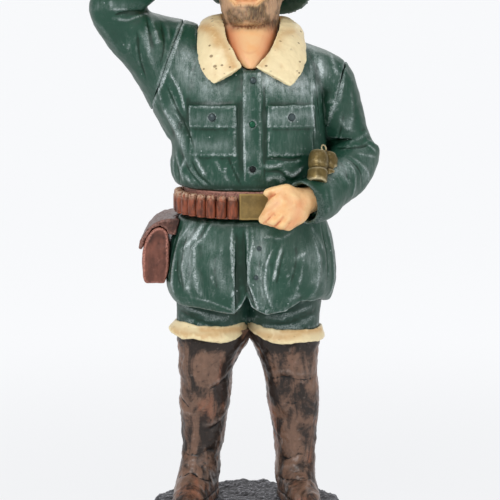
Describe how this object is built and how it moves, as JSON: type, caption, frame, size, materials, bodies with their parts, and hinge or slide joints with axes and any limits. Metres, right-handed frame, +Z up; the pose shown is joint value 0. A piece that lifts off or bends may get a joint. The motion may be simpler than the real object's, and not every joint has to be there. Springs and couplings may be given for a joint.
{
  "type": "hunter figurine",
  "caption": "Painted cast figurine of a hunter on a rock base, shading the eyes with one hand and gripping the cartridge belt with the other.",
  "frame": {"origin": "centre of the underside of the felt", "axes": "+Z up, the figure faces -Y, +X to its left hand"},
  "size_m": [0.2008, 0.1238, 0.4207],
  "materials": {
    "felt": "matte",
    "rock": "rough painted resin",
    "steel": "plain",
    "boot": "dry-brushed painted resin",
    "fleece": "pitted painted resin",
    "breeches": "satin painted resin",
    "jacket": "satin painted resin, dry-brushed",
    "leather": "satin painted resin",
    "plate": "satin painted resin",
    "brass": "metallic painted resin",
    "skin": "satin painted resin",
    "shell": "satin painted resin",
    "stud": "gloss painted resin"
  },
  "bodies": {
    "root": {"bag_body": "leather", "bag_lid": "leather", "base_rock": "rock", "belt_plate": "plate", "breeches": "breeches", "cartridge_01": "shell", "cartridge_02": "shell", "cartridge_03": "shell", "cartridge_04": "shell", "cartridge_05": "shell", "cartridge_06": "shell", "cartridge_07": "shell", "cartridge_08": "shell", "cartridge_09": "shell", "cartridge_10": "shell", "cartridge_11": "shell", "cartridge_12": "shell", "cartridge_13": "shell", "cartridge_14": "shell", "cartridge_15": "shell", "cartridge_16": "shell", "cartridge_17": "shell", "cartridge_18": "shell", "cartridge_19": "shell", "cartridge_20": "shell", "cartridge_21": "shell", "cartridge_belt": "leather", "collar": "fleece", "felt_pad": "felt", "field_glasses": "brass", "hat": "jacket", "hat_band": "leather", "head": "skin", "jacket_body": "jacket", "left_arm_pin": "steel", "left_boot": "boot", "left_boot_cuff": "fleece", "left_hand": "skin", "left_leg_rod": "steel", "left_pocket_stud": "stud", "left_sleeve": "jacket", "placket_stud_1": "stud", "placket_stud_2": "stud", "placket_stud_3": "stud", "right_arm_pin": "steel", "right_boot": "boot", "right_boot_cuff": "fleece", "right_hand": "skin", "right_leg_rod": "steel", "right_pocket_stud": "stud", "right_sleeve": "jacket", "skirt_stud_1": "stud", "skirt_stud_2": "stud"}
  },
  "joints": []
}
